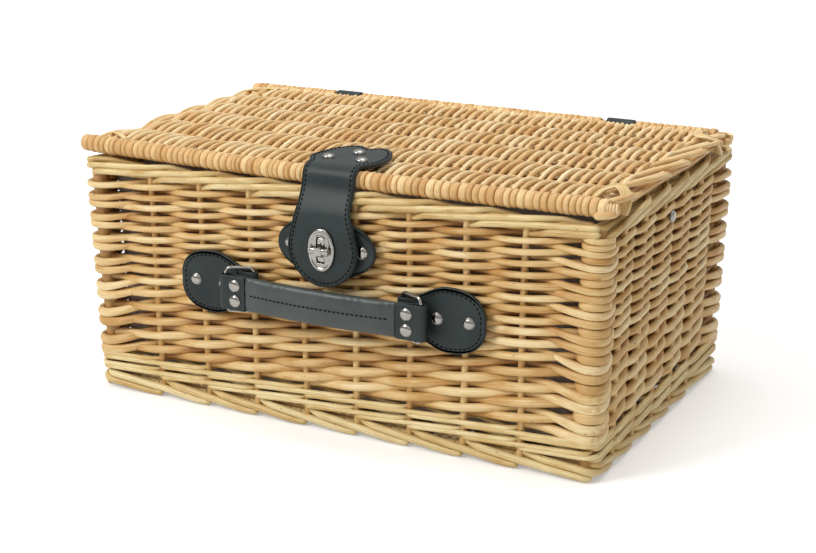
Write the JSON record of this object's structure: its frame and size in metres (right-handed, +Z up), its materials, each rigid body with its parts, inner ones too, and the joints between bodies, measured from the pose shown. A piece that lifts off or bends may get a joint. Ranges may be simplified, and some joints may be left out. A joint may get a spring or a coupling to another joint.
{
  "type": "picnic basket",
  "caption": "Rectangular woven willow picnic basket with a hinged flat lid, a leather strap clasp with a turn lock, and a leather carrying handle on wire rings.",
  "frame": {"origin": "under the middle of the whole part's box, on the ground", "axes": "+X along the basket's width towards its right end as seen from the front, +Y from the front (clasp side) to the hinges, +Z up"},
  "size_m": [0.465, 0.3176, 0.2215],
  "materials": {
    "willow": "peeled willow rods, clear lacquer",
    "pale_willow": "peeled willow rods, paler, clear lacquer",
    "lid_willow": "peeled willow rods, straw to orange brown, clear lacquer",
    "cane": "pale cane strips",
    "cloth": "plain woven cloth",
    "leather": "smooth slate leather with stitched edges",
    "nickel": "polished nickel plate",
    "wire": "nickel-plated wire"
  },
  "bodies": {
    "basket": {"floor_panel": "willow", "front_wall": "willow", "back_wall": "willow", "left_wall": "willow", "right_wall": "willow", "corner_post_front_left": "willow", "corner_post_front_right": "willow", "corner_post_back_left": "willow", "corner_post_back_right": "willow", "foot_border": "pale_willow", "base_wale": "pale_willow", "rim_border": "pale_willow", "cloth_lining": "cloth", "handle_patch_left": "leather", "handle_patch_right": "leather", "patch_rivet_left_inner": "nickel", "patch_rivet_left_outer": "nickel", "patch_rivet_right_inner": "nickel", "patch_rivet_right_outer": "nickel", "lock_patch": "leather", "lock_rivet_left": "nickel", "lock_rivet_right": "nickel", "lock_base": "nickel", "hinge_strap_left": "leather", "hinge_strap_right": "leather", "hinge_rivet_left_lower": "nickel", "hinge_rivet_left_upper": "nickel", "hinge_rivet_right_lower": "nickel", "hinge_rivet_right_upper": "nickel", "side_rivet_left": "nickel", "side_rivet_right": "nickel"},
    "lid": {"lid_front_rail": "lid_willow", "lid_back_rail": "lid_willow", "lid_panel": "lid_willow", "lid_border_left": "lid_willow", "lid_border_right": "lid_willow", "corner_tie_front_left": "cane", "corner_tie_front_right": "cane", "corner_tie_back_left": "cane", "corner_tie_back_right": "cane", "clasp_strap": "leather", "clasp_rivet_left": "nickel", "clasp_rivet_right": "nickel", "clasp_rivet_back": "nickel"},
    "clasp": {"clasp_flap": "leather", "lock_eyelet": "nickel"},
    "toggle": {"turn_toggle": "nickel"},
    "handle": {"handle_grip": "leather", "handle_end_left": "leather", "handle_end_right": "leather", "handle_rivet_left_lower": "nickel", "handle_rivet_left_upper": "nickel", "handle_rivet_right_lower": "nickel", "handle_rivet_right_upper": "nickel"},
    "ring_left": {"handle_ring_left": "wire"},
    "ring_right": {"handle_ring_right": "wire"}
  },
  "joints": [
    {"name": "lid_hinge", "type": "hinge", "parent": "basket", "child": "lid", "pos_m": [0, 0.1299, 0.208], "axis": [-1, 0, 0], "range_deg": [0, 100]},
    {"name": "clasp_bend", "type": "hinge", "parent": "lid", "child": "clasp", "pos_m": [0.0035, -0.137, 0.2078], "axis": [-1, 0, 0], "range_deg": [0, 100]},
    {"name": "toggle_turn", "type": "hinge", "parent": "basket", "child": "toggle", "pos_m": [0.0035, -0.1479, 0.1535], "axis": [0, -1, 0], "range_deg": [0, 90]},
    {"name": "handle_slide", "type": "slide", "parent": "basket", "child": "handle", "axis": [0, -1, 0], "range_m": [-0.003, 0.006]},
    {"name": "ring_left_swing", "type": "hinge", "parent": "basket", "child": "ring_left", "pos_m": [-0.062, -0.14105, 0.1109], "axis": [0, 0, 1], "range_deg": [-9, 18]},
    {"name": "ring_right_swing", "type": "hinge", "parent": "basket", "child": "ring_right", "pos_m": [0.069, -0.14105, 0.1109], "axis": [0, 0, 1], "range_deg": [-18, 9]}
  ],
  "couplings": [
    {"joint": "ring_left_swing", "follows": "handle_slide", "rad_per_m": 51},
    {"joint": "ring_right_swing", "follows": "handle_slide", "rad_per_m": -51}
  ]
}
